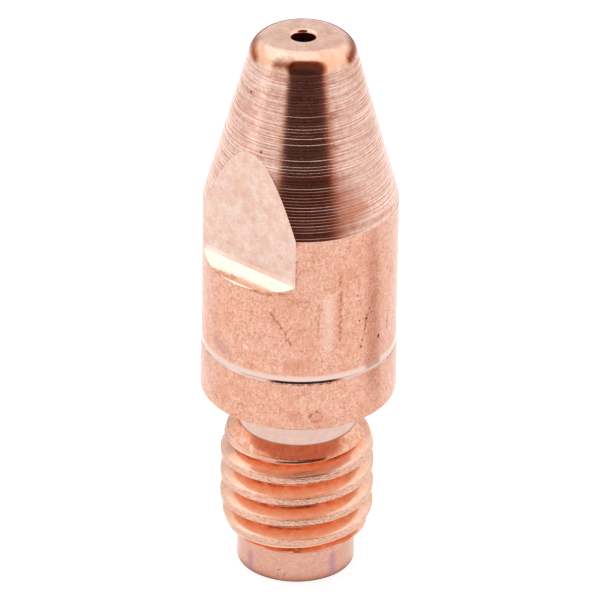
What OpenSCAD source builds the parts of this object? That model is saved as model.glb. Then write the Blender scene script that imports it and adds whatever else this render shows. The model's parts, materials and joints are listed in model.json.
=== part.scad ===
/*
  Welding contact tip, turned from one copper-alloy bar.
  The origin is the centre of the rear face, and +Z runs along the wire to the nose.
  The two wrench flats face -Y and +Y.
*/

/* [Body] */
// Overall length, from the rear face to the nose face
tip_length = 30; // [27:0.1:60]
// Length of the cone, from the body to the nose face
cone_length = 9.02; // [6:0.01:11]
// Diameter at which the cone would meet the nose face, were the edge sharp
nose_d = 4.98; // [4.2:0.01:6]
// Radius between the cone and the nose face
nose_radius = 1.2; // [0.3:0.05:1.3]

/* [Collar] */
// Diameter of the collar, which keeps the bar's drawn surface
collar_d = 10; // [9:0.1:12]
// Length of the collar, up to the end of the turned body
collar_length = 2.71; // [1.5:0.01:4]
// Depth to which the body was turned below the collar
collar_step = 0.05; // [0.02:0.01:0.3]
// Radius that the tool left where the body meets the collar
step_radius = 1.9; // [0.6:0.1:3]
// Edge break at the seat face
collar_break = 0.12; // [0.05:0.01:0.5]

/* [Shank] */
// Length of the plain pilot at the rear
pilot_length = 1.68; // [1:0.01:3]
// Edge break at the rear face
pilot_break = 0.1; // [0.05:0.01:0.8]
// Length of the threaded zone, with the lead at each end
thread_length = 6.43; // [4:0.01:10]
// Length of the neck between the thread and the seat face
neck_length = 2.05; // [0.5:0.01:3]
// How far the pilot and the neck lie below the thread's root
thread_relief = 0.21; // [0.05:0.01:0.5]

/* [Thread] */
// Major diameter, M8 within its tolerance
thread_d = 7.87; // [7.5:0.01:8.4]
// Pitch of the right-hand thread
thread_pitch = 1.25; // [1:0.05:1.5]
// Direction, about the axis, in which the groove's centre enters the threaded zone
thread_start_angle = 171; // [0:1:359]
// 45 degree chamfer at each end of the thread
thread_chamfer = 0.6; // [0.3:0.01:0.7]
// Length over which the crests then rise to the full diameter
crest_taper = 0.9; // [0.1:0.01:1.2]

/* [Wire bore] */
// Diameter of the bore, for a 1.0 mm wire
bore_d = 1.2; // [0.8:0.05:2]
// Chamfer of the bore at the nose
bore_chamfer = 0.2; // [0.05:0.01:0.5]
// Diameter of the lead-in at the rear face
lead_d = 3; // [2.2:0.1:4.5]
// Slope of the lead-in cone to the axis
lead_angle = 30; // [20:1:60]

/* [Wrench flats] */
// Distance across the two flats
flats_across = 7.75; // [7:0.05:9]
// Length of the flats on the body, below the cone
flat_length = 2.6; // [1:0.01:4.5]
// Fall of the ledge towards the outside
ledge_angle = 24; // [0:1:40]

/* [Hidden] */

// Smoothness of round surfaces, and steps in one turn of the groove
$fn = 96;
groove_steps = 48;
// Overshoot of the cutting shapes past the surfaces that they cut
over = 0.1;

// Thread form with 60 degree flanks
flank_angle = 30;
depth_per_pitch = 0.56;
root_flat_per_pitch = 0.04;
thread_r = thread_d / 2;
root_r = thread_r - depth_per_pitch * thread_pitch;
root_flat = root_flat_per_pitch * thread_pitch;
pilot_r = root_r - thread_relief;
chamfer_r = pilot_r + thread_chamfer;
full_thread = thread_chamfer + crest_taper;

// Heights along the tip, stacked from the rear face
thread_start_z = pilot_length;
thread_end_z = thread_start_z + thread_length;
seat_z = thread_end_z + neck_length;
collar_top_z = seat_z + collar_length;
cone_start_z = tip_length - cone_length;
ledge_z = cone_start_z - flat_length;

collar_r = collar_d / 2;
body_r = collar_r - collar_step;
flat_y = flats_across / 2;
nose_r = nose_d / 2;
cone_angle = atan((body_r - nose_r) / cone_length);
// Radius and height of the centre of the nose's rounding
nose_centre = [nose_r - nose_radius * tan(45 - cone_angle / 2), tip_length - nose_radius];
// Radius and height of the centre of the tool's nose at the end of its cut
step_rise = sqrt(pow(step_radius, 2) - pow(step_radius - collar_step, 2));
step_centre = [body_r + step_radius, collar_top_z + step_rise];

// Half outline of the turned bar, as radius and height
module tip_outline() {
    difference() {
        union() {
            polygon([
                [0, 0],
                [pilot_r - pilot_break, 0],
                [pilot_r, pilot_break],
                [pilot_r, thread_start_z],
                [chamfer_r, thread_start_z + thread_chamfer],
                [thread_r, thread_start_z + full_thread],
                [thread_r, thread_end_z - full_thread],
                [chamfer_r, thread_end_z - thread_chamfer],
                [pilot_r, thread_end_z],
                [pilot_r, seat_z],
                [collar_r - collar_break, seat_z],
                [collar_r, seat_z + collar_break],
                [collar_r, step_centre[1]],
                [body_r, step_centre[1]],
                [body_r, cone_start_z],
                nose_centre + nose_radius * [cos(cone_angle), sin(cone_angle)],
                [nose_centre[0], tip_length],
                [0, tip_length]]);
            intersection() {
                translate(nose_centre)
                    circle(r = nose_radius);
                translate([0, nose_centre[1]])
                    square([body_r, nose_radius + over]);
            }
        }
        translate(step_centre)
            circle(r = step_radius);
    }
}

// One section of the groove at its step along the helix: narrow at the root, wide outside
function groove_section(step) =
    let (turn = step / groove_steps,
         angle = thread_start_angle + 360 * turn,
         z = thread_start_z + thread_pitch * turn,
         outer_r = thread_r + over,
         half_root = root_flat / 2,
         half_outer = half_root + (outer_r - root_r) * tan(flank_angle))
    [for (p = [[root_r, -half_root], [outer_r, -half_outer], [outer_r, half_outer], [root_r, half_root]])
        [p[0] * cos(angle), p[0] * sin(angle), z + p[1]]];

// Helical groove that runs out of both ends of the threaded zone
module thread_groove() {
    corners = len(groove_section(0));
    first = -groove_steps;
    last = ceil(groove_steps * (thread_length / thread_pitch + 1));
    count = last - first;
    points = [for (step = [first : last]) each groove_section(step)];
    sides = [for (i = [0 : count - 1], k = [0 : corners - 1])
        let (a = i * corners + k,
             b = i * corners + (k + 1) % corners)
        each [[a, b, a + corners], [b, b + corners, a + corners]]];
    rear_end = [for (k = [corners - 1 : -1 : 0]) k];
    front_end = [for (k = [0 : corners - 1]) count * corners + k];
    polyhedron(points, concat(sides, [rear_end, front_end]));
}

module wire_bore() {
    bore_r = bore_d / 2;
    lead_r = lead_d / 2;
    lead_depth = (lead_r - bore_r) / tan(lead_angle);
    rotate_extrude()
        polygon([
            [0, -over],
            [lead_r + over * tan(lead_angle), -over],
            [bore_r, lead_depth],
            [bore_r, tip_length - bore_chamfer],
            [bore_r + bore_chamfer + over, tip_length + over],
            [0, tip_length + over]]);
}

// Cut of one wrench flat, with its ledge
module wrench_flat() {
    reach = collar_r - flat_y + over;
    rotate([90, 0, 90])
        linear_extrude(height = collar_d, center = true)
            polygon([
                [flat_y, ledge_z],
                [flat_y + reach, ledge_z - reach * tan(ledge_angle)],
                [flat_y + reach, tip_length],
                [flat_y, tip_length]]);
}

module contact_tip() {
    color("#E3A98C")
        difference() {
            rotate_extrude()
                tip_outline();
            thread_groove();
            wire_bore();
            wrench_flat();
            rotate([0, 0, 180])
                wrench_flat();
        }
}

contact_tip();
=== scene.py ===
# %% [markdown]
# # A copper contact tip
# A contact tip is the last piece of a welding torch: the wire slides through it and takes its
# current from the wall. It is one piece of copper bar that was turned on a lathe, threaded,
# drilled through and given two wrench flats. The model is made the same way: an outline is
# spun into the turned shape, a screw makes the thread, and two cutters take off the flats.
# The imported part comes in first, as the frame that gives every size and place.

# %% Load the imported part
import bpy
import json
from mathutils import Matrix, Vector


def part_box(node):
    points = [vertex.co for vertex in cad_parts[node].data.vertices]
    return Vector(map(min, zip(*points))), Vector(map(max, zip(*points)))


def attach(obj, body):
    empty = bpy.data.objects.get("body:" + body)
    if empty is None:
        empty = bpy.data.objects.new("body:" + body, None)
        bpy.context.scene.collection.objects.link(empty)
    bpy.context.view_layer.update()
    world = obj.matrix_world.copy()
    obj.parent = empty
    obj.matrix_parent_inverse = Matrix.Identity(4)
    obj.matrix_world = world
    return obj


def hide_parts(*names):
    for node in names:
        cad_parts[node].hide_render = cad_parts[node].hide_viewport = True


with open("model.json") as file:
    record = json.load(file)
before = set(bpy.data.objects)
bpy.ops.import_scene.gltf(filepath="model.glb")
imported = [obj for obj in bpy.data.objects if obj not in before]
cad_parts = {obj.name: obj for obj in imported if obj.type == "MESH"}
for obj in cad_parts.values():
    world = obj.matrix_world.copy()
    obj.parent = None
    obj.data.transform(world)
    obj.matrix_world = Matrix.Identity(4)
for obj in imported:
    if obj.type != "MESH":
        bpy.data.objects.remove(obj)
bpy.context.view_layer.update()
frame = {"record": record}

# %% [markdown]
# ## Tools of the lesson
# Blender's operators act on what is selected, so one helper enters edit mode with just the
# vertices or faces that pass a test. All sizes are in millimetres, as on a drawing, and are
# turned into Blender's metres where a shape is made.

# %% Tools of the lesson
import json
import random
from math import acos, atan, ceil, cos, degrees, hypot, pi, radians, sin, tan

import bpy
from mathutils import Matrix, Vector

MM = 0.001


def pick(piece, kind, test):
    """Enters edit mode with just those vertices or faces selected that pass a test."""
    bpy.context.view_layer.objects.active = piece
    bpy.ops.object.mode_set(mode="EDIT")
    bpy.ops.mesh.select_mode(type=kind)
    bpy.ops.mesh.select_all(action="DESELECT")
    bpy.ops.object.mode_set(mode="OBJECT")
    mesh = piece.data
    parts = mesh.vertices if kind == "VERT" else mesh.polygons
    for part in parts:
        part.select = test(part)
    bpy.ops.object.mode_set(mode="EDIT")
    return sum(part.select for part in parts)


def radius(point):
    """Distance from the tip's axis, in millimetres."""
    return hypot(point.x, point.y) / MM


print("one millimetre is", MM, "metres")

# %% [markdown]
# ## Sizes
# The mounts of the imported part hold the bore, the pilot, the thread and the seat face, and
# its box holds the collar and the length. The rest are the drawing's own sizes, along the
# axis from the rear face at height 0 up to the nose.

# %% Sizes in millimetres
mounts = {mount["name"]: mount for mount in frame["record"]["mounts"]}
bore_r = mounts["wire_bore"]["dims"]["r_mm"]
pilot_r = mounts["rear_pilot"]["dims"]["r_mm"]
thread_r = mounts["shank_thread"]["dims"]["r_mm"]
seat_z = mounts["seat_face"]["pos_m"][2] / MM
low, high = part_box("contact_tip")
collar_r = min(high.x, -low.x, high.y, -low.y) / MM
tip_length = high.z / MM

pilot_length = 1.68
pilot_break = 0.1
thread_length = 6.43
collar_length = 2.71
collar_step = 0.05
collar_break = 0.12
cone_length = 9.02
nose_r = 2.49
nose_radius = 1.2
bore_chamfer = 0.2
lead_r = 1.5
lead_angle = radians(30)

thread_start_z = pilot_length
thread_end_z = thread_start_z + thread_length
collar_top_z = seat_z + collar_length
cone_start_z = tip_length - cone_length
body_r = collar_r - collar_step
cone_angle = atan((body_r - nose_r) / cone_length)
print(f"collar {2 * collar_r:.2f} mm across, tip {tip_length:.2f} mm long")
print(f"cone at {degrees(cone_angle):.1f} degrees to the axis")

# %% [markdown]
# ## The turned outline
# Everything but the thread is round, so one outline of radius and height describes it. It
# starts on top of the pilot, goes down and in along the rear face, up through the wire
# bore, over the nose, and down the outside to the neck. The lathe's feed leaves a fine
# ridge after each turn of the work, and on the cone these ridges are coarse enough to see.
# They could be bump in a material, but a shape that shows belongs in the mesh, so they go
# into the outline itself. Each is a little different, and the light breaks on them.

# %% Ridges and arcs for the outline
rng = random.Random(7)
feed = 0.16
ridge_height = 0.006
# One ridge from cusp to cusp: share of the feed, and share of the ridge's height
ridge_shape = [(0, 1), (0.14, 0.15), (0.5, 0), (0.86, 0.15)]


def arc(centre, r, start, end, steps):
    """Points on an arc, as radius and height, from one direction to another."""
    angles = [start + (end - start) * i / steps for i in range(steps + 1)]
    return [(centre[0] + r * cos(a), centre[1] + r * sin(a)) for a in angles]


def cone_ridges(start, end):
    """Points down the cone from start to end, with a cusp where two turns of the tool meet."""
    length = hypot(end[0] - start[0], end[1] - start[1])
    along = ((end[0] - start[0]) / length, (end[1] - start[1]) / length)
    outward = (-along[1], along[0])
    count = round(length / feed)
    points = []
    for i in range(count):
        growth = 0.8 + 0.6 * i / count
        chance = 0.4 + rng.random()
        height = ridge_height * growth * chance
        for share, rise in ridge_shape:
            s = (i + share) * length / count
            lift = height * rise - ridge_height
            points.append((start[0] + s * along[0] + lift * outward[0],
                           start[1] + s * along[1] + lift * outward[1]))
    return points + [end]


nose_centre = (nose_r - nose_radius * tan(pi / 4 - cone_angle / 2), tip_length - nose_radius)
cone_top = (nose_centre[0] + nose_radius * cos(cone_angle),
            nose_centre[1] + nose_radius * sin(cone_angle))
ridges = cone_ridges(cone_top, (body_r, cone_start_z))
print(f"cone of {len(ridges) // len(ridge_shape)} ridges, {feed} mm apart")

# %% [markdown]
# The body was turned a hair thinner than the collar. Where the tool stopped, it left a
# narrow bright band and a small lip, which catch the light as a pale line above a dark one.
# The lip is given by two points on its way out to the collar.

# %% Outline of the turned tip
step_band = 0.3
step_lip = 0.12
lip_foot_out = 0.1 * collar_step
lip_bend_out = 0.35 * collar_step
lip_bend_down = 0.47 * step_lip
lip_z = collar_top_z + step_lip
lead_depth = (lead_r - bore_r) / tan(lead_angle)

outline = [(pilot_r, thread_start_z)]
outline += arc((pilot_r - pilot_break, pilot_break), pilot_break, 0, -pi / 2, 6)
outline += [(lead_r, 0), (bore_r, lead_depth)]
outline += arc((bore_r + bore_chamfer, tip_length - bore_chamfer), bore_chamfer, pi, pi / 2, 8)
outline += arc(nose_centre, nose_radius, pi / 2, cone_angle, 20)[:-1]
outline += ridges
outline += [(body_r, lip_z + step_band), (body_r + lip_foot_out, lip_z)]
outline += [(body_r + lip_bend_out, lip_z - lip_bend_down), (collar_r, collar_top_z)]
outline += arc((collar_r - collar_break, seat_z + collar_break), collar_break, 0, -pi / 2, 6)
outline += [(pilot_r, seat_z), (pilot_r, thread_end_z)]
print(f"outline of {len(outline)} points")

# %% [markdown]
# ## Spinning the outline
# The outline is drawn as by hand, by extruding one point again and again. Spin then carries
# it round the axis, as the lathe does with its work. The seam is merged at the end.

# %% Spin the outline
around = 144
seam = 1e-6


def draw(name, points):
    """A line of points drawn by extruding one vertex, from radius and height in millimetres."""
    places = [Vector((r * MM, 0, z * MM)) for r, z in points]
    bpy.ops.object.select_all(action="DESELECT")
    bpy.ops.mesh.primitive_plane_add(size=MM)
    line = bpy.context.object
    line.name = name
    bpy.ops.object.mode_set(mode="EDIT")
    bpy.ops.mesh.merge(type="CENTER")
    bpy.ops.transform.translate(value=places[0])
    for here, there in zip(places, places[1:]):
        bpy.ops.mesh.extrude_vertices_move(TRANSFORM_OT_translate={"value": there - here})
    bpy.ops.object.mode_set(mode="OBJECT")
    return line


tip = draw("contact_tip_turned", outline)
bpy.ops.object.mode_set(mode="EDIT")
bpy.ops.mesh.select_all(action="SELECT")
bpy.ops.mesh.spin(steps=around, angle=2 * pi, center=(0, 0, 0), axis=(0, 0, 1), use_auto_merge=True)
bpy.ops.mesh.select_all(action="SELECT")
bpy.ops.mesh.remove_doubles(threshold=seam)
bpy.ops.object.mode_set(mode="OBJECT")
print(f"turned shape of {len(tip.data.polygons)} faces")

# %% [markdown]
# ## The thread
# A cut thread is one groove on a helix. A groove could be cut out of a plain shank with a
# Boolean, but that leaves slivers along the flanks. The Screw modifier gives clean strips:
# it sweeps the outline of one pitch, from the middle of one root to the middle of the next,
# with 60 degrees between the flanks and a small rounding at the crest.

# %% Outline of one pitch
pitch = 1.25
thread_start_angle = radians(171)
thread_depth = 0.56 * pitch
root_flat = 0.05
flank = radians(30)
crest_round = 0.14
flank_points = 8

root_r = thread_r - thread_depth
half_root = root_flat / 2
half_crest = pitch / 2 - half_root - thread_depth * tan(flank)
round_run = crest_round * tan((pi / 2 - flank) / 2)
flank_rise = thread_depth - round_run * cos(flank)
flank_top = (thread_r - round_run * cos(flank), half_root + flank_rise * tan(flank))
round_centre = (thread_r - crest_round, pitch / 2 - half_crest + round_run)

lower_half = [(root_r, 0)]
for i in range(flank_points):
    lower_half.append((root_r + (flank_top[0] - root_r) * i / flank_points,
                       half_root + (flank_top[1] - half_root) * i / flank_points))
lower_half += arc(round_centre, crest_round, -(pi / 2 - flank), 0, 6)
crest_middle = [(thread_r, pitch / 2)]
upper_half = [(r, pitch - z) for r, z in reversed(lower_half)]
one_pitch = lower_half + crest_middle + upper_half
print(f"thread {2 * thread_r:.2f} mm over the crests, {2 * root_r:.2f} mm in the root")

# %% Sweep the pitch along the helix
first_root_z = thread_start_z - pitch * thread_start_angle / (2 * pi) - pitch
turns = ceil((thread_end_z - first_root_z) / pitch)

thread = draw("contact_tip_thread", [(r, z + first_root_z) for r, z in one_pitch])
screw = thread.modifiers.new("cut along the helix", "SCREW")
screw.axis = "Z"
screw.angle = 2 * pi
screw.screw_offset = pitch * MM
screw.iterations = turns
screw.steps = around
screw.render_steps = around
bpy.ops.object.modifier_apply(modifier=screw.name)
print(f"thread of {turns} turns, {len(thread.data.polygons)} faces")

# %% [markdown]
# Before the thread was cut, the lathe turned a short cone at each end, the lead, and from
# there the crests still rise a little. So each point that lies outside the lead is drawn in
# to it, and what lies past its end gathers on the rim of the pilot or the neck. No operator
# does this in one step, so each vertex is moved by its own amount.

# %% Draw in the ends of the thread
lead_rise = 0.6
lead_length = 0.5
crest_taper = 1.0

for vertex in thread.data.vertices:
    point = vertex.co
    z = min(max(point.z / MM, thread_start_z), thread_end_z)
    from_end = min(z - thread_start_z, thread_end_z - z)
    taper = (from_end - lead_length) * (thread_r - pilot_r - lead_rise) / crest_taper
    lead = pilot_r + min(from_end * lead_rise / lead_length, lead_rise + taper)
    drawn_in = min(radius(point), lead) / radius(point)
    vertex.co = (point.x * drawn_in, point.y * drawn_in, z * MM)
print(f"leads {lead_length} mm long and {lead_rise} mm high")

# %% [markdown]
# Thread and turned shape now share two rims. They are joined, the points on the rims are
# merged, and the normals are made to face outwards. If no edge is left open, the tip is one
# closed skin, which the Boolean in the next step needs.

# %% Join thread and turned shape
rim_gap = 2e-6

bpy.ops.object.select_all(action="DESELECT")
thread.select_set(True)
tip.select_set(True)
bpy.context.view_layer.objects.active = tip
bpy.ops.object.join()
bpy.ops.object.mode_set(mode="EDIT")
bpy.ops.mesh.select_all(action="SELECT")
bpy.ops.mesh.remove_doubles(threshold=rim_gap)
bpy.ops.mesh.normals_make_consistent(inside=False)
bpy.ops.mesh.select_all(action="DESELECT")
bpy.ops.mesh.select_mode(type="EDGE")
bpy.ops.mesh.select_non_manifold()
bpy.ops.object.mode_set(mode="OBJECT")
print("open edges after joining:", sum(edge.select for edge in tip.data.edges))

# %% [markdown]
# ## The wrench flats
# Two side cuts make room for a wrench. The cutter's lower face falls towards the outside,
# so each flat ends in a bright sloping ledge. The real cutter left the ledge slightly
# wavy, so its face is split into strips, each with a slope of its own. One block is shaped
# in place on each side, and a Boolean takes it off.

# %% Cut the flats
flat_y = 3.875
flat_length = 2.6
ledge_z = cone_start_z - flat_length
# Strips of the ledge from the flat outwards: width in millimetres, fall in degrees
ledge_strips = [(0.17, 44), (0.26, 29), (0.22, 21), (0.14, 11), (0.14, 9), (0.14, 24)]
cutter_reach = 2.0
cutter_width = 2.4 * collar_r
cut_height = tip_length - ledge_z

strip_edges = [flat_y]
for width, slope in ledge_strips[:-1]:
    strip_edges.append(strip_edges[-1] + width)
strip_edges.append(flat_y + cutter_reach)

for side in (-1, 1):
    bpy.ops.object.select_all(action="DESELECT")
    bpy.ops.mesh.primitive_cube_add(
        size=MM, location=(0, side * (flat_y + cutter_reach / 2) * MM, (ledge_z + cut_height / 2) * MM),
        scale=(cutter_width, cutter_reach, cut_height))
    bpy.ops.object.transform_apply(location=True, rotation=True, scale=True)
    cutter = bpy.context.object
    for edge in strip_edges[1:-1]:
        pick(cutter, "FACE", lambda face: True)
        bpy.ops.mesh.bisect(plane_co=(0, side * edge * MM, 0), plane_no=(0, 1, 0))
        bpy.ops.object.mode_set(mode="OBJECT")
    for inner, outer, (width, slope) in zip(strip_edges, strip_edges[1:], ledge_strips):
        between = (inner + outer) / 2 * MM
        pick(cutter, "VERT", lambda v: abs(v.co.y) > between and v.co.z < (ledge_z + 1) * MM)
        bpy.ops.transform.translate(value=(0, 0, -(outer - inner) * tan(radians(slope)) * MM))
        bpy.ops.object.mode_set(mode="OBJECT")
    bpy.context.view_layer.objects.active = tip
    cut = tip.modifiers.new("wrench flat", "BOOLEAN")
    cut.operation = "DIFFERENCE"
    cut.solver = "EXACT"
    cut.object = cutter
    bpy.ops.object.modifier_apply(modifier=cut.name)
    bpy.data.objects.remove(cutter)
tip.name = "contact_tip_copper"
triangles = sum(len(face.vertices) - 2 for face in tip.data.polygons)
print(f"tip of {len(tip.data.polygons)} faces, {triangles} triangles")

# %% [markdown]
# ## Smooth walls and crisp edges
# A turned wall is smooth, but its machined edges are crisp. Smooth shading by angle keeps
# most edges. The rims of the flats and the ledges, the foot of the cone and the two edges
# of the collar's step are too blunt for that in places, so they are marked sharp.

# %% Shade smooth, with crisp machined edges
smooth_angle = radians(18)
sharp_rings = [cone_start_z, lip_z, collar_top_z]


def on_flat(face):
    """Whether a face lies on a wrench flat."""
    return abs(face.normal.y) > 0.999 and abs(abs(face.center.y) - flat_y * MM) < 1e-6


def on_ledge(face):
    """Whether a face lies on the ledge at the end of a flat."""
    outside = abs(face.center.y) > flat_y * MM
    return face.normal.z > 0.7 and outside and face.center.z > (collar_top_z + 1) * MM


bpy.ops.object.select_all(action="DESELECT")
tip.select_set(True)
bpy.context.view_layer.objects.active = tip
bpy.ops.object.shade_smooth_by_angle(angle=smooth_angle)
flats = pick(tip, "FACE", lambda face: on_flat(face) or on_ledge(face))
bpy.ops.mesh.region_to_loop()
bpy.ops.mesh.mark_sharp()
ringed = pick(tip, "VERT", lambda v: any(abs(v.co.z / MM - z) < 1e-3 for z in sharp_rings))
bpy.ops.mesh.select_mode(type="EDGE")
bpy.ops.mesh.mark_sharp()
bpy.ops.object.mode_set(mode="OBJECT")
print(f"{flats} flat and ledge faces, {ringed} points on sharp rings")

# %% [markdown]
# ## Copper, and how each surface was cut
# All surfaces are the same metal, and yet each has a look of its own, from the tool that
# made it. One function makes them all from two tones of copper: patches of tarnish turn the
# fresh tone into the other, and a grain that runs the way the tool moved tints it, changes
# its roughness and lifts it a little. Patterns read Object coordinates, which on this piece
# are metres from the rear face, so their sizes can be given in real millimetres.

# %% Helpers for materials
def linear(tone):
    """The linear colour of an sRGB hex tone."""
    shares = [int(tone[i:i + 2], 16) / 255 for i in (1, 3, 5)]
    return (*[s / 12.92 if s < 0.04045 else ((s + 0.055) / 1.055) ** 2.4 for s in shares], 1)


def add(tree, kind, inputs=(), out=0, **settings):
    """Adds a node with its settings and its inputs, as values or links, and gives an output."""
    made = tree.nodes.new("ShaderNode" + kind)
    for name, value in settings.items():
        setattr(made, name, value)
    pairs = inputs.items() if isinstance(inputs, dict) else enumerate(inputs)
    for socket, value in pairs:
        if isinstance(value, bpy.types.NodeSocket):
            tree.links.new(value, made.inputs[socket])
        else:
            made.inputs[socket].default_value = value
    return made.outputs[out]


def open_nodes(material):
    """A material's nodes, and the Object coordinates that its patterns read."""
    tree = material.node_tree
    return tree, add(tree, "TexCoord", out="Object")


def grain_pattern(tree, place, sizes, detail, rough):
    """A noise whose grain has the given sizes along x, y and z, in millimetres."""
    scale = [1 / (size * MM) for size in sizes]
    run = add(tree, "Mapping", {"Vector": place, "Scale": scale})
    return add(tree, "TexNoise", {"Vector": run, "Scale": 1, "Detail": detail, "Roughness": rough})


def tint(material, share, tone):
    """Turns a material's colour into another tone where a share says so."""
    tree = material.node_tree
    colour = tree.nodes["Principled BSDF"].inputs["Base Color"]
    old = colour.links[0].from_socket
    new = add(tree, "Mix", {"Factor": share, 6: old, 7: linear(tone)}, out=2, data_type="RGBA")
    tree.links.new(new, colour)


def dull(material, share, roughness):
    """Gives a material another roughness where a share says so."""
    tree = material.node_tree
    gloss = tree.nodes["Principled BSDF"].inputs["Roughness"]
    old = gloss.links[0].from_socket
    new = add(tree, "Mix", {"Factor": share, 2: old, 3: roughness}, data_type="FLOAT")
    tree.links.new(new, gloss)


print("a mid copper in linear shares:", [round(v, 3) for v in linear("#CC8869")])

# %% [markdown]
# The function below is the whole recipe of the metal. Metallic is 1 and the IOR stays at
# its default, as for any bare metal. The patch is the size of the tarnish, the contrast says
# how sharply it turns, and the streak says how much the grain shows in the colour.

# %% The recipe for copper
finishes = {}


def copper(name, fresh, tarnished, patch, contrast, streak, grain, grain_depth, roughness):
    """Copper in two tones, with soft patches and a tool's grain; sizes in millimetres."""
    material = bpy.data.materials.new(name)
    material.use_nodes = True
    tree, place = open_nodes(material)
    shader = tree.nodes["Principled BSDF"]
    shader.inputs["Metallic"].default_value = 1
    patches = grain_pattern(tree, place, (patch, patch, patch), 8, 0.75)
    marks = grain_pattern(tree, place, grain, 4, 0.6)
    both = add(tree, "Math", [marks, streak, patches], operation="MULTIPLY_ADD")
    middle = 0.5 + 0.5 * streak
    half_turn = 0.2 / contrast
    spread = add(tree, "MapRange", [both, middle - half_turn, middle + half_turn])
    tones = {"Factor": spread, 6: linear(fresh), 7: linear(tarnished)}
    gloss = add(tree, "MapRange", [marks, 0.3, 0.7, 0.8 * roughness, 1.2 * roughness])
    bump = add(tree, "Bump", {"Height": marks, "Distance": grain_depth * MM, "Strength": 1})
    tree.links.new(add(tree, "Mix", tones, out=2, data_type="RGBA"), shader.inputs["Base Color"])
    tree.links.new(gloss, shader.inputs["Roughness"])
    tree.links.new(bump, shader.inputs["Normal"])
    return material


# %% [markdown]
# ### Drawn bar
# The collar keeps the skin that the bar got when it was drawn through a die, and the body
# was only just cleaned up. Both have dulled a little in store: the eye sees soft-edged
# reflections and a salmon tone with fine brown patches. The lines of drawing are only a few
# micrometres wide, so they are drawn 0.06 mm wide to show at all. Broad clouds and thin
# curling veins of tarnish lie on top, where a noise is close to its middle value.

# %% Drawn bar, with clouds and veins of tarnish
finishes["bar"] = copper(
    "copper_drawn_bar", fresh="#F1C9B7", tarnished="#CC8869", patch=0.14, contrast=1.15,
    streak=0.3, grain=(0.06, 0.06, 0.4), grain_depth=0.0015, roughness=0.24)
vein_width = 0.03

tree, place = open_nodes(finishes["bar"])
clouds = grain_pattern(tree, place, (1.2, 1.2, 1.8), 4, 0.6)
tint(finishes["bar"], add(tree, "MapRange", [clouds, 0.45, 0.7, 0, 0.45]), "#D08B6C")
curls = grain_pattern(tree, place, (0.26, 0.26, 0.32), 5, 0.6)
off_middle = add(tree, "Math", [curls, 0.5], operation="SUBTRACT")
off_vein = add(tree, "Math", [off_middle], operation="ABSOLUTE")
vein = add(tree, "MapRange", [off_vein, 0, vein_width, 0.95, 0])
here_and_there = grain_pattern(tree, place, (0.5, 0.5, 0.6), 3, 0.6)
some = add(tree, "MapRange", [here_and_there, 0.46, 0.6])
tint(finishes["bar"], add(tree, "Math", [vein, some], operation="MULTIPLY"), "#BE6E50")
print(f"{finishes['bar'].name}: {len(tree.nodes)} nodes")

# %% [markdown]
# Where the turning tool stopped at the collar, it left a narrow band of fresh metal. It is
# paler and far smoother than the bar's skin, so it shines as a pale line all round.

# %% A fresh band where the tool stopped
band_bottom_z = collar_top_z - 0.02
band_top_z = collar_top_z + 0.32
band_end_z = collar_top_z + 0.46

rise = add(tree, "SeparateXYZ", [place], out="Z")
above = add(tree, "MapRange", [rise, band_bottom_z * MM, collar_top_z * MM])
below = add(tree, "MapRange", [rise, band_top_z * MM, band_end_z * MM, 1, 0])
band = add(tree, "Math", [above, below], operation="MULTIPLY")
tint(finishes["bar"], band, "#E2C6BB")
dull(finishes["bar"], band, 0.09)
print(f"fresh band from {band_bottom_z:.2f} to {band_end_z:.2f} mm")

# %% [markdown]
# ### Coarse turning and polish
# The cone was cut in one quick pass with a coarse feed. Between its ridges the metal is
# bright, so the eye sees sharp reflections broken into rings. The grain is 0.075 mm, about
# half the feed, so that tone changes within each turn. At its foot the cone is a little
# duller. The nose was rounded and polished last, so it is smooth, warm and nearly a mirror.

# %% Coarse turning on the cone, polish on the nose
finishes["cone"] = copper(
    "copper_turned_coarse", fresh="#FADACD", tarnished="#D0927A", patch=0.25, contrast=0.8,
    streak=1.6, grain=(4, 4, 0.075), grain_depth=0.004, roughness=0.15)
finishes["nose"] = copper(
    "copper_polished", fresh="#FCDACB", tarnished="#E8AE92", patch=0.7, contrast=1.3,
    streak=0.2, grain=(0.3, 0.3, 0.3), grain_depth=0.001, roughness=0.12)
foot_start_z = cone_start_z + 0.5
foot_end_z = cone_start_z + 3.5

tree, place = open_nodes(finishes["cone"])
rise = add(tree, "SeparateXYZ", [place], out="Z")
foot = add(tree, "MapRange", [rise, foot_start_z * MM, foot_end_z * MM, 1, 0])
dull(finishes["cone"], foot, 0.22)
print(f"cone duller up to {foot_end_z:.2f} mm")

# %% [markdown]
# ### Milling
# The flats were milled with the side of a cutter. That leaves a fine, even, matt surface
# that looks pale. Its true grain of about 0.02 mm is drawn at 0.09 mm so that it shows. The
# end of the same cutter made the ledges, which are almost as bright as a mirror.

# %% Milled flats and ledges
finishes["flat"] = copper(
    "copper_milled", fresh="#E9D4CA", tarnished="#D4A590", patch=0.5, contrast=0.9,
    streak=0.5, grain=(0.09, 0.09, 0.09), grain_depth=0.001, roughness=0.28)
finishes["ledge"] = copper(
    "copper_milled_bright", fresh="#F9E4D9", tarnished="#F1D0BF", patch=0.4, contrast=0.8,
    streak=0.2, grain=(0.3, 0.3, 0.3), grain_depth=0.0005, roughness=0.12)
print("finishes so far:", ", ".join(finishes))
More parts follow.
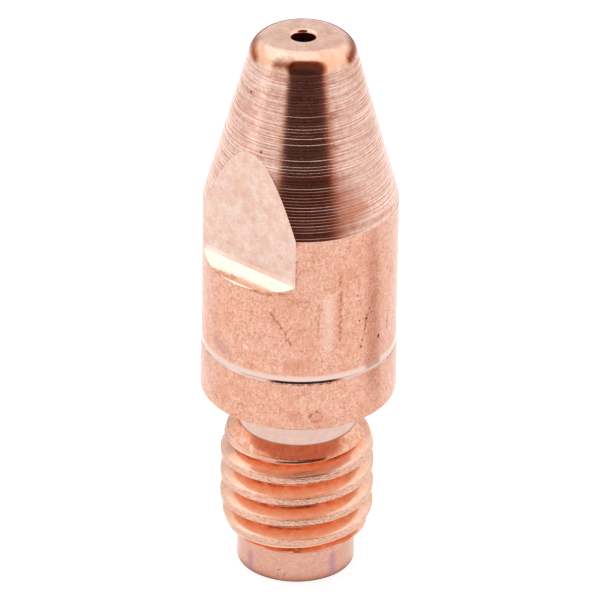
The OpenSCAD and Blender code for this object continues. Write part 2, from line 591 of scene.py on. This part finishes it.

# %% [markdown]
# ### Thread, neck, pilot and bore
# The thread's flanks are smooth and mirror each other, so the copper looks deeper orange in the groove.
# The neck was turned with a fine feed and is pale satin metal. The pilot is turned the same way, but is
# painted a browner tone, partly dulled metal and partly painted shade near the floor. A fine feed is
# finer than a pixel of the render, so both are drawn at 0.05 mm, which is one pixel. The drilled bore
# is rough and dark.

# %% Thread, neck, pilot and bore
finishes["thread"] = copper(
    "copper_thread_cut", fresh="#F3CDB8", tarnished="#E8B598", patch=0.3, contrast=1,
    streak=0.3, grain=(0.6, 0.6, 0.1), grain_depth=0.003, roughness=0.2)
finishes["neck"] = copper(
    "copper_turned_fine", fresh="#DFC3B8", tarnished="#D4AE9F", patch=0.4, contrast=0.8,
    streak=0.4, grain=(1.5, 1.5, 0.05), grain_depth=0.002, roughness=0.2)
# The pilot's browner tones are partly tarnish and partly painted shade near the floor
finishes["pilot"] = copper(
    "copper_turned_tarnish_and_shade", fresh="#E1B6A5", tarnished="#CE947E", patch=0.2, contrast=0.8,
    streak=0.4, grain=(1.5, 1.5, 0.05), grain_depth=0.002, roughness=0.22)
finishes["bore"] = copper(
    "copper_drilled", fresh="#A86248", tarnished="#6E3A2A", patch=0.3, contrast=1,
    streak=0.5, grain=(0.4, 0.4, 0.1), grain_depth=0.003, roughness=0.35)
line_z = thread_end_z + 0.04
line_end_z = thread_end_z + 0.1

# A dark line of painted shade lies in the corner at the foot of the neck
tree, place = open_nodes(finishes["neck"])
rise = add(tree, "SeparateXYZ", [place], out="Z")
painted_corner_shade = add(tree, "MapRange", [rise, line_z * MM, line_end_z * MM, 0.8, 0])
tint(finishes["neck"], painted_corner_shade, "#8E3E1C")
print("finishes made:", ", ".join(finishes))

# %% [markdown]
# ### Along the thread
# Tarnish on a thread follows the helix. The angle about the axis is a share of one turn,
# and the height is a number of turns: their difference, without its whole turns, says how
# far a point lies between one root and the next. From that comes the distance to the crest.

# %% Distance from the crest
tree, place = open_nodes(finishes["thread"])
parts = add(tree, "SeparateXYZ", [place]).node.outputs
helix_end_z = first_root_z + turns * pitch
angle = add(tree, "Math", [parts["Y"], parts["X"]], operation="ARCTAN2")
turned = add(tree, "Math", [angle, 2 * pi], operation="DIVIDE")
risen = add(tree, "MapRange", [parts["Z"], first_root_z * MM, helix_end_z * MM, 0, turns])
along_helix = add(tree, "Math", [risen, turned], operation="SUBTRACT")
within = add(tree, "Math", [along_helix], operation="FRACT")
off_middle = add(tree, "Math", [within, 0.5], operation="SUBTRACT")
share_off = add(tree, "Math", [off_middle], operation="ABSOLUTE")
from_crest = add(tree, "Math", [share_off, pitch], operation="MULTIPLY")
print(f"crests are {2 * half_crest:.2f} mm wide")

# %% [markdown]
# The crests were torn a little in cutting and look scaly, so they get bump and dark scales of 0.25 by
# 0.06 mm. The roots are painted deep orange, a painted reflection of the flanks mirroring each other,
# and in places they are dark with dirt. The front lead has scratches that run down its slope, and its
# orange tint is partly scratches and partly a painted reflection of the collar's underside.

# %% Scaly crests, orange roots and a scratched lead
shader = tree.nodes["Principled BSDF"]
scale_depth = 0.06
crest_soft = 0.03
lead_top_r = pilot_r + lead_rise
lead_foot_z = thread_end_z - lead_length

level = add(tree, "VectorMath", [place, (1, 1, 0)], operation="MULTIPLY")
from_axis = add(tree, "VectorMath", [level], out="Value", operation="LENGTH")
above_lead = add(tree, "MapRange", [from_axis, (lead_top_r - 0.02) * MM, (lead_top_r + 0.06) * MM])
near_crest = add(tree, "MapRange", [from_crest, half_crest - crest_soft, half_crest + crest_soft, 1, 0])
crest = add(tree, "Math", [near_crest, above_lead], operation="MULTIPLY")
scales = grain_pattern(tree, place, (0.25, 0.25, 0.06), 3, 0.6)
lift = add(tree, "Math", [scales, crest], operation="MULTIPLY")
fine = shader.inputs["Normal"].links[0].from_socket
torn = {"Height": lift, "Distance": scale_depth * MM, "Strength": 1, "Normal": fine}
tree.links.new(add(tree, "Bump", torn), shader.inputs["Normal"])

# The lead's orange tint follows scratches and is partly a painted reflection of the collar's underside
on_lead = add(tree, "MapRange", [parts["Z"], (lead_foot_z - 0.06) * MM, lead_foot_z * MM])
scratches = grain_pattern(tree, place, (0.2, 0.2, 1.5), 5, 0.7)
scratches_and_reflection = add(tree, "MapRange", [scratches, 0.4, 0.6, 0.05, 0.6])
tint(finishes["thread"], add(tree, "Math", [on_lead, scratches_and_reflection], operation="MULTIPLY"), "#CC6C42")
tint(finishes["thread"], crest, "#EBBBA4")

dark_scales = add(tree, "MapRange", [scales, 0.5, 0.68, 0, 0.6])
tint(finishes["thread"], add(tree, "Math", [dark_scales, crest], operation="MULTIPLY"), "#B4694C")

# Painted reflection: deep orange in the roots, where the flanks mirror each other
patches = grain_pattern(tree, place, (0.4, 0.4, 0.2), 4, 0.6)
patchy = add(tree, "MapRange", [patches, 0.3, 0.6, 0.3, 1])
root_reflection = add(tree, "MapRange", [from_crest, 0.28, 0.54, 0, 0.9])
tint(finishes["thread"], add(tree, "Math", [root_reflection, patchy], operation="MULTIPLY"), "#E68C60")

dirt_patches = grain_pattern(tree, place, (1.6, 1.6, 0.4), 4, 0.6)
dirty = add(tree, "MapRange", [dirt_patches, 0.52, 0.62])
deep = add(tree, "MapRange", [from_crest, 0.48, 0.57, 0, 0.7])
tint(finishes["thread"], add(tree, "Math", [deep, dirty], operation="MULTIPLY"), "#7E3A20")
print(f"{finishes['thread'].name}: {len(tree.nodes)} nodes")

# %% [markdown]
# ## Marks of handling, and painted light
# The tip is clean, but it has been handled: a few scratches run along the body, there are small dark
# specks and rings where drops dried. Some marks are painted light: a painted highlight and painted dark
# reflections on the polished nose, painted reflections on the cone, the flat and the thread, a painted
# highlight on the thread and painted shade at the pilot's foot. They could be painted on an image, but
# lines in the material stay sharp at any distance. Each mark is a line on the surface rolled out flat,
# given in degrees around the axis and millimetres up. A fine noise makes its edge ragged and breaks it
# here and there.

# %% Helpers for marks
ragged_line = 0.22
ragged_speck = 0.08
wander_size = 0.15
break_size = 0.2
soft_film = 0.25
speck_length = 0.01


def unroll(tree, place, r, ragged):
    """The surface at a radius rolled out flat, as way around and height in millimetres."""
    parts = add(tree, "SeparateXYZ", [place]).node.outputs
    angle = add(tree, "Math", [parts["Y"], parts["X"]], operation="ARCTAN2")
    across = add(tree, "Math", [angle, r], operation="MULTIPLY")
    height = add(tree, "Math", [parts["Z"], MM], operation="DIVIDE")
    sheet = add(tree, "CombineXYZ", [across, height])
    noise = {"Vector": place, "Scale": 1 / (wander_size * MM), "Detail": 3}
    wander = add(tree, "TexNoise", noise, out="Color")
    off_centre = add(tree, "VectorMath", [wander, (0.5, 0.5, 0.5)], operation="SUBTRACT")
    return add(tree, "VectorMath", [off_centre, (ragged, ragged, 0), sheet], operation="MULTIPLY_ADD")


def way_off(tree, sheet, points):
    """Distance on the rolled-out surface from the line through some points."""
    nearest = 100
    for start, end in zip(points, points[1:]):
        run = Vector((*end, 0)) - Vector((*start, 0))
        per_run = run / run.length_squared
        from_start = add(tree, "VectorMath", [sheet, (*start, 0)], operation="SUBTRACT")
        along = add(tree, "VectorMath", [from_start, per_run], out="Value", operation="DOT_PRODUCT")
        held = add(tree, "Clamp", [along])
        foot = add(tree, "VectorMath", {0: run, "Scale": held}, operation="SCALE")
        off = add(tree, "VectorMath", [from_start, foot], out="Value", operation="DISTANCE")
        nearest = add(tree, "Math", [nearest, off], operation="MINIMUM")
    return nearest


def mark(finish, r, marks):
    """Draws marks on a finish; each has points, a width, a soft edge, a tone and a strength."""
    tree, place = open_nodes(finishes[finish])
    line_sheet = unroll(tree, place, r, ragged_line)
    speck_sheet = unroll(tree, place, r, ragged_speck)
    breaks = grain_pattern(tree, place, (break_size, break_size, break_size), 3, 0.6)
    broken = add(tree, "MapRange", [breaks, 0.4, 0.58])
    for points, width, soft, tone, strength in marks:
        speck = len(points) == 1
        if speck:
            points = points + [(points[0][0], points[0][1] + speck_length)]
        line = [(radians(angle) * r, z) for angle, z in points]
        off = way_off(tree, speck_sheet if speck else line_sheet, line)
        share = add(tree, "MapRange", [off, width / 2, width / 2 + soft, strength, 0])
        if soft < soft_film and not speck:
            share = add(tree, "Math", [share, broken], operation="MULTIPLY")
        tint(finishes[finish], share, tone)
    print(f"{len(marks)} marks on the {finish}")


def ring(angle, z, r, size):
    """A ring of points on the rolled-out surface, for the rim of a dried drop."""
    ways = [2 * pi * i / 8 for i in range(9)]
    return [(angle + degrees(size / r * cos(way)), z + size * sin(way)) for way in ways]


print(f"lines wander by {ragged_line / 2} mm at most")

# %% [markdown]
# ### Marks on the bar's skin
# The milling cutter left a thin dark burr along the lower rim of the ledge, so that mark
# follows the rim, worked out from the ledge's strips. The others are scratches along the
# body, small dark specks, rims of dried drops and a few broad, faint films.

# %% Scratches and burrs on the bar's skin
def ledge_height(across):
    """Height of the ledge at a distance from the tip's middle plane."""
    fall = 0
    for inner, outer, (width, slope) in zip(strip_edges, strip_edges[1:], ledge_strips):
        fall += (min(max(across, inner), outer) - inner) * tan(radians(slope))
    return ledge_z - fall


ledge_rim = []
for turn in range(-36, 37, 8):
    ledge_rim.append((-90 + turn, ledge_height(body_r * cos(radians(turn)))))
burrs = [
    (ledge_rim, 0.02, 0.06, "#8E5236", 0.85),
    ([(-79, 17.86), (-71, 17.8), (-65, 17.86), (-57, 18.0)], 0.02, 0.08, "#A05C40", 0.8),
    ([(-51.2, 20.9), (-51.2, 18.5)], 0.03, 0.1, "#B06648", 0.7),
    ([(15, 12.86), (32, 12.86)], 0.03, 0.05, "#6E4A40", 0.8),
    ([(-128, 12.9), (-111, 12.9)], 0.02, 0.05, "#8A665C", 0.7),
]
scratch_lines = [
    ([(-24.6, 19.0), (-24.5, 15.2)], 0.04, 0.12, "#B4674A", 0.9),
    ([(-37.7, 17.4), (-37.9, 15.5)], 0.03, 0.1, "#BF7657", 0.7),
    ([(-31.5, 17.6), (-32.1, 15.0)], 0.2, 0.4, "#F4D4C5", 0.4),
    ([(-66.2, 16.87), (-60.7, 16.2), (-57.1, 15.72), (-53.5, 15.11)], 0.03, 0.1, "#A85E42", 0.9),
    ([(-57.4, 17.84), (-51.6, 17.53), (-42.9, 17.59)], 0.02, 0.09, "#BF7657", 0.8),
    ([(-3.3, 16.46), (-6.2, 15.96), (-7, 15.37), (-9.8, 14.45)], 0.02, 0.08, "#B4674A", 0.7),
]
print(f"rim of the ledge from {ledge_rim[0][1]:.2f} down to {min(z for a, z in ledge_rim):.2f} mm")

# %% Specks, drops and films on the bar's skin
specks = [
    ([(-6.2, 15.96)], 0.11, 0.04, "#6A2008", 1),
    ([(-11.3, 15.98)], 0.07, 0.04, "#7A2C10", 1),
    ([(-6.7, 15.54)], 0.06, 0.04, "#863818", 1),
    ([(-7, 15.37)], 0.04, 0.04, "#8E4422", 1),
    ([(-12.8, 17.45)], 0.04, 0.04, "#863818", 1),
    ([(-3.3, 16.46)], 0.04, 0.04, "#984E2E", 1),
    ([(-1.9, 16.19)], 0.05, 0.04, "#984E2E", 1),
    ([(-5.6, 16.14)], 0.04, 0.04, "#8E4422", 1),
    ([(-8.9, 14.8)], 0.07, 0.04, "#863818", 1),
    ([(-9.8, 14.45)], 0.07, 0.04, "#863414", 1),
    ([(4.9, 14.55)], 0.13, 0.05, "#5E1804", 1),
    ([(16.8, 15.91), (15.9, 15.76), (14.4, 15.29), (14.8, 14.55)], 0.02, 0.05, "#A05C42", 0.9),
    ([(25.5, 15.5), (24.4, 14.78), (20.8, 14.51)], 0.02, 0.05, "#8A5A48", 0.8),
    ([(19.4, 14.42)], 0.08, 0.05, "#FFF0E8", 0.9),
    ([(-64, 12.83), (-26, 12.83)], 0.02, 0.06, "#4A241A", 0.9),
]
drops = [
    (ring(-82, 14.51, body_r, 0.2), 0.03, 0.06, "#B87454", 0.8),
    (ring(-38.4, 10.96, collar_r, 0.3), 0.06, 0.1, "#A65A3C", 0.9),
    (ring(-84, 10.9, collar_r, 0.25), 0.03, 0.08, "#C0805F", 0.6),
    ([(-82, 14.51)], 0.24, 0.12, "#F4D2C2", 0.6),
    ([(-106, 14.0), (-98, 13.85)], 0.3, 0.3, "#B98A84", 0.55),
    ([(-55, 13.9), (-50, 13.9)], 0.3, 0.3, "#C98468", 0.5),
    ([(-51.7, 10.96)], 0.4, 0.2, "#CC8A70", 0.5),
    ([(-38.4, 10.76)], 0.35, 0.2, "#CC8A70", 0.45),
]
mark("bar", body_r, burrs + scratch_lines + specks + drops)

# %% [markdown]
# ### Marks on the flats and ledges
# A yellow streak and a thin line lie along the bright ledge. The foot of the flat is painted paler than
# the rest, a painted reflection of the bright ledge, and two faint films lie higher up.

# %% Marks on the flats and ledges
ledge_mark_r = 4.6
flat_mark_r = 4.3
ledge_marks = [
    ([(-119, 17.9), (-105, 17.93), (-95, 17.95), (-79, 17.97), (-66, 17.97)],
     0.05, 0.12, "#EFBE8C", 0.45),
    ([(-121, 17.92), (-104, 17.96), (-92, 17.97)], 0.01, 0.03, "#B8743E", 0.5),
]
mark("ledge", ledge_mark_r, ledge_marks)
flat_films_and_reflection = [
    # Painted reflection: a pale line at the flat's foot, where it mirrors the bright ledge
    ([(-125, 18.46), (-55, 18.46)], 0.06, 0.25, "#FFEADC", 0.75),
    ([(-101, 22.9), (-97, 22.6)], 0.2, 0.5, "#D39A80", 0.4),
    ([(-90, 21.3), (-86, 21.2)], 0.1, 0.4, "#D39A80", 0.35),
]
mark("flat", flat_mark_r, flat_films_and_reflection)

# %% [markdown]
# ### Marks on the cone
# The flat's cutter left a burr along the curved rim where the flat runs into the cone. The rim is
# worked out from the cone: at each height it is the angle at which the cone's radius just reaches the
# flat. A brown film lies beside it, and there are a few stains. A broad brown band on the front of the
# cone's foot is painted reflection: it tints the ridges' reflections in the dark stripe orange-brown.

# %% Marks on the cone
rim_steps = 8
rim_height = (body_r - flat_y) / tan(cone_angle)
rim = []
for i in range(rim_steps + 1):
    z = cone_start_z + rim_height * i / rim_steps
    rim_r = body_r - (z - cone_start_z) * tan(cone_angle)
    rim.append((degrees(acos(min(1, flat_y / rim_r))), z))
right_rim = [(-90 + angle, z) for angle, z in rim]
left_rim = [(-90 - angle, z) for angle, z in rim]
cone_marks_and_reflection = [
    (right_rim[:6], 0.2, 0.45, "#9C5A46", 0.5),
    # Painted reflection: a broad brown band on the front of the cone's foot
    ([(-62, 22.3), (-33, 22.3)], 2.0, 1.2, "#A85C44", 0.62),
    (right_rim, 0.06, 0.08, "#A8623F", 0.7),
    (left_rim, 0.04, 0.06, "#C58A68", 0.6),
    ([(-110, 27.78), (-104, 27.71), (-100, 27.6)], 0.08, 0.12, "#B97A5C", 0.7),
    ([(-104.3, 27.71)], 0.06, 0.06, "#6A3826", 1),
    ([(-15, 22.2), (-11, 22.3)], 0.4, 0.4, "#CB8260", 0.55),
    ([(-23, 27.0), (-20, 27.05)], 0.1, 0.2, "#A05A40", 0.7),
    ([(-26, 25.45), (-22, 25.5)], 0.1, 0.2, "#A05A40", 0.7),
    ([(-81, 25.1)], 0.06, 0.05, "#5A3020", 1),
]
mark("cone", (body_r + nose_r) / 2, cone_marks_and_reflection)

# %% [markdown]
# ### Marks and painted light on the nose, the thread and the pilot
# The polished nose carries painted light: a golden band of painted highlight round its rim, and painted
# dark reflections at its left and right edges and beside the top of the dark stripe. On the thread, the
# front lead has an orange band of painted reflection on one side and a streak of painted highlight. The
# pilot has a brown rim of painted shade at its foot, two faint violet stains and the rim of one dried
# drop.

# %% Marks on the nose, the thread and the pilot
thread_mark_r = 3.5
nose_painted_light = [
    # Painted highlight: a golden band round the front of the nose's rim
    ([(-150, 29.5), (50, 29.5)], 0.1, 0.35, "#EFAE80", 0.5),
    # Painted dark reflections at the nose's left and right edges
    ([(-142, 29.6), (-129, 29.52), (-112, 29.3)], 0.12, 0.28, "#A04A20", 0.95),
    ([(46, 29.6), (31, 29.52), (12, 29.34)], 0.14, 0.28, "#96421C", 1),
    # Painted dark reflection beside the top end of the dark stripe on the nose
    ([(-80, 29.48), (-64, 29.54)], 0.1, 0.3, "#7A3C22", 0.85),
]
mark("nose", nose_r, nose_painted_light)
thread_marks_and_painted_light = [
    # Painted reflection: an orange band on the front of the lead
    ([(-90, 7.86), (-14, 7.86)], 0.3, 0.5, "#CC6C42", 0.55),
    ([(-140, 7.3), (-122, 7.0)], 0.3, 0.5, "#8A5A4A", 0.5),
    # Painted highlight: a pale streak on the lead
    ([(-92, 7.8), (-89, 7.5)], 0.1, 0.1, "#FFE4D4", 0.6),
]
mark("thread", thread_mark_r, thread_marks_and_painted_light)
pilot_stains_and_shade = [
    # Painted shade: a brown rim and a darker line at the pilot's foot
    ([(-140, 0.05), (40, 0.05)], 0.1, 0.45, "#C07C62", 0.6),
    ([(-140, 0.02), (40, 0.02)], 0.04, 0.25, "#94503E", 0.5),
    ([(-99, 0.16), (-99, 1.0)], 0.05, 0.3, "#A47C98", 0.6),
    ([(-10, 0.34), (-10, 1.23)], 0.05, 0.3, "#A47C98", 0.6),
    (ring(-64, 0.46, pilot_r, 0.24), 0.03, 0.08, "#B06A52", 0.7),
]
mark("pilot", pilot_r, pilot_stains_and_shade)

# %% [markdown]
# ## Which face has which finish
# The finishes are slots of one mesh, because the tip is one piece of metal. Each face gets
# its finish from its height, its distance from the axis and the way it looks.

# %% Give each face its finish
nose_start_z = 29.15
hair = 0.01


def finish_of(face):
    """The finish of a face, from its place and the way it looks."""
    z = face.center.z / MM
    r = radius(face.center)
    if r < lead_r and hair < z < tip_length - bore_chamfer:
        return "bore"
    if on_flat(face):
        return "flat"
    if on_ledge(face):
        return "ledge"
    if z > nose_start_z:
        return "nose"
    if z > cone_start_z:
        return "cone"
    # The collar's underside looks straight down, and has the pilot's dulled finish
    if z > seat_z and r > pilot_r + 0.1 and face.normal.z > -0.99:
        return "bar"
    if thread_start_z < z < thread_end_z:
        return "thread"
    return "neck" if thread_start_z < z < seat_z - hair else "pilot"


names = list(finishes)
for name in names:
    tip.data.materials.append(finishes[name])
for face in tip.data.polygons:
    face.material_index = names.index(finish_of(face))
for i, name in enumerate(names):
    print(name, sum(face.material_index == i for face in tip.data.polygons), "faces")

# %% [markdown]
# ## Into the frame
# The tip rides on the part's one body and takes the place of its one node.

# %% Place the piece in the frame
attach(tip, "root")
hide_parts("contact_tip")
print(tip.name, "stands for the node contact_tip")

# %% [markdown]
# ## The camera
# The picture is taken with a long lens from about a third of a metre, looking down by 29
# degrees. The camera's axes are worked out from its bearing, height and roll, and set as one
# matrix, so that a size in the picture can be traced back to a size on the tip.

# %% Camera
view_azimuth = radians(40.887)
view_elevation = radians(29.318)
view_distance = 0.347484
view_roll = radians(0.892)
lens_pixels = 6851.1
frame_pixels = 600
sensor_width = 36
aim_side = 0.000032
aim_height = 0.014924

front = Vector((sin(view_azimuth), -cos(view_azimuth), 0))
right = Vector((cos(view_azimuth), sin(view_azimuth), 0))
back = front * cos(view_elevation) + Vector((0, 0, sin(view_elevation)))
up = back.cross(right)
camera_place = right * aim_side + Vector((0, 0, aim_height)) + back * view_distance
tilted_right = right * cos(view_roll) + up * sin(view_roll)
tilted_up = up * cos(view_roll) - right * sin(view_roll)
facing = Matrix((tilted_right, tilted_up, back)).transposed().to_4x4()
bpy.ops.object.camera_add()
camera = bpy.context.object
camera.matrix_world = Matrix.Translation(camera_place) @ facing
camera.data.sensor_width = sensor_width
camera.data.lens = lens_pixels / frame_pixels * sensor_width
camera.data.clip_start = 0.01
bpy.context.scene.camera = camera
print(f"lens of {camera.data.lens:.0f} mm at {view_distance:.3f} m")

# %% [markdown]
# ## The studio floor
# Bare copper shows what stands around it more than its own colour. Its upright walls mirror
# the floor, so the floor is matt white paper with a glow of its own, which keeps it even and
# bright up to its edge. A dark disc just under the pilot's rim makes the thin line of shadow
# on which the tip stands.

# %% Floor, and the dark line where the tip stands
floor_radius = 0.085
contact_inset = 0.02
contact_height = 0.005


def matt(name, tone, glow_tone, glow):
    """A matt stage paint with a glow, from hex tones."""
    paint = bpy.data.materials.new(name)
    paint.use_nodes = True
    shader = paint.node_tree.nodes["Principled BSDF"]
    shader.inputs["Base Color"].default_value = linear(tone)
    shader.inputs["Emission Color"].default_value = linear(glow_tone)
    shader.inputs["Emission Strength"].default_value = glow
    shader.inputs["Roughness"].default_value = 0.9
    return paint


bpy.ops.object.select_all(action="DESELECT")
bpy.ops.mesh.primitive_circle_add(vertices=96, radius=floor_radius, fill_type="NGON")
floor = bpy.context.object
floor.name = "floor"
floor.data.materials.append(matt("white_floor", "#B8B8B8", "#FFFFFF", 0.75))

bpy.ops.object.select_all(action="DESELECT")
bpy.ops.mesh.primitive_circle_add(
    vertices=96, radius=(pilot_r - contact_inset) * MM, fill_type="NGON",
    location=(0, 0, contact_height * MM))
contact = bpy.context.object
contact.name = "contact_shadow"
contact.data.materials.append(matt("floor_in_shadow", "#302727", "#FFFFFF", 0))
print(f"floor {2 * floor_radius / MM:.0f} mm across")

# %% [markdown]
# ## Cards beside the tip
# A photographer lays cards beside a shiny thing to shape its reflections. A grey card draws
# the darker stripe near the body's right edge, and a white one brightens the flat. They lie
# just above the floor, and only reflections see them.

# %% Cards that only reflections see
card_height = 0.2


def lay_card(name, bearing, near, far, width, tone, glow):
    """A card on the floor between two distances along a bearing from the front, in millimetres."""
    bpy.ops.object.select_all(action="DESELECT")
    bpy.ops.mesh.primitive_plane_add(size=MM)
    card = bpy.context.object
    card.name = name
    card.scale = (far - near, width, 1)
    card.rotation_euler.z = view_azimuth - pi / 2 + bearing
    direction = front * cos(bearing) + right * sin(bearing)
    card.location = direction * (near + far) / 2 * MM + Vector((0, 0, card_height * MM))
    card.visible_camera = False
    card.visible_diffuse = False
    card.visible_shadow = False
    card.data.materials.append(matt(name, tone, tone, glow))
    print(f"{name}: {far - near:.0f} by {width:.0f} mm")


lay_card("grey_card", radians(91), 21.5, 42, 11, "#C4AEA6", 0.55)
lay_card("white_card", radians(-78), 52, 84, 60, "#F3F3F3", 0.6)

# %% [markdown]
# ## The tent
# Above the floor hangs a white tent, brightest overhead. The ledges and the nose mirror its
# top, and the cone mirrors its horizon. It has a dark gap in front, where the camera stands,
# which gives the cone its dark stripe. The tent is the world's light, so that no lamp leaves
# a hard spot: a direction is turned into a height and a bearing from the front.

# %% Directions in the tent
world = bpy.data.worlds.new("white_tent")
bpy.context.scene.world = world
world.use_nodes = True
tree = world.node_tree
toward = add(tree, "TexCoord", out="Generated")
height = add(tree, "SeparateXYZ", [toward], out="Z")
ahead = add(tree, "VectorMath", [toward, front], out="Value", operation="DOT_PRODUCT")
aside = add(tree, "VectorMath", [toward, right], out="Value", operation="DOT_PRODUCT")
bearing = add(tree, "Math", [aside, ahead], operation="ARCTAN2")
off_front = add(tree, "Math", [bearing], operation="ABSOLUTE")
# The gap's sides lean in towards the top, so its bearing shrinks with height
narrowing = add(tree, "Math", [height, -0.3, 1], operation="MULTIPLY_ADD")
narrowed = add(tree, "Math", [bearing, narrowing], operation="MULTIPLY")


def zone(value, start, end, soft):
    """A mask that is 1 between two values and falls to 0 over a soft edge."""
    smooth = {"interpolation_type": "SMOOTHSTEP"}
    rise = add(tree, "MapRange", [value, start - soft, start + soft], **smooth)
    fall = add(tree, "MapRange", [value, end - soft, end + soft, 1, 0], **smooth)
    return add(tree, "Math", [rise, fall], operation="MULTIPLY")


def sector(value, start, end, soft):
    """A zone between two bearings in degrees."""
    return zone(value, radians(start), radians(end), radians(soft))


print("front of the studio:", [round(v, 3) for v in front])

# %% [markdown]
# The tent's cloth brightens from the horizon to the top. On it hang panels, each with a
# range of bearings, a range of heights and a colour. Light can be brighter than white, so
# these are linear strengths and not tones of a paint. The camera itself sees plain white.

# %% Cloth and panels of the tent
tent = add(tree, "ValToRGB", [height])
tent_steps = [(0.0, 0.98), (0.16, 1.0), (0.32, 1.15), (0.6, 1.2), (1.0, 1.25)]
cloth = tent.node.color_ramp
while len(cloth.elements) < len(tent_steps):
    cloth.elements.new(0.5)
for element, (where, brightness) in zip(cloth.elements, tent_steps):
    element.position = where
    element.color = (brightness, brightness, brightness, 1)

panels = [
    # The far side, a little dimmer, and the brown edge of the table behind the tip
    (sector(off_front, 145, 200, 12), zone(height, 0.06, sin(radians(45)), 0.06), (0.85, 0.85, 0.85)),
    (sector(off_front, 158, 200, 8), zone(height, -0.3, -0.02, 0.02), (0.36, 0.2, 0.17)),
    # The table's edge in front
    (sector(off_front, -20, 65, 10), zone(height, -0.1, -0.02, 0.03), (0.6, 0.45, 0.38)),
    # Two bright panels on the left, one high for the ledges and one low for the flat
    (sector(bearing, -152, -85, 8), zone(height, sin(radians(36)), 0.94, 0.05), (1.45, 1.45, 1.45)),
    (sector(bearing, -84, -68, 6), zone(height, -0.12, 0.32, 0.05), (1.25, 1.25, 1.25)),
    # The gap: its brown edge, its orange top, its dark middle, and warm light high and low in it
    (sector(narrowed, -31, 47, 4), zone(ahead, 0.2, 2, 0.12), (0.55, 0.33, 0.26)),
    (sector(narrowed, -31, 44, 4), zone(ahead, 0.2, 0.75, 0.12), (0.75, 0.33, 0.14)),
    (sector(narrowed, -27, 40, 3), zone(ahead, 0.3, 2, 0.1), (0.05, 0.027, 0.026)),
    (sector(narrowed, -27, 40, 3), zone(ahead, 0.3, 0.8, 0.1), (0.13, 0.05, 0.036)),
    (sector(narrowed, -27, 40, 3), zone(height, -0.04, 0.03, 0.009), (0.2, 0.08, 0.062)),
]
shown = tent
for across, upward, colour in panels:
    mask = add(tree, "Math", [across, upward], operation="MULTIPLY")
    shown = add(tree, "Mix", {"Factor": mask, 6: shown, 7: (*colour, 1)}, out=2, data_type="RGBA")
seen = add(tree, "LightPath", out="Is Camera Ray")
plain = add(tree, "Mix", {"Factor": seen, 6: shown, 7: (1, 1, 1, 1)}, out=2, data_type="RGBA")
tree.links.new(plain, tree.nodes["Background"].inputs["Color"])
bpy.context.scene.view_settings.view_transform = "Standard"
print(f"tent of {len(panels)} panels, {len(tree.nodes)} nodes")
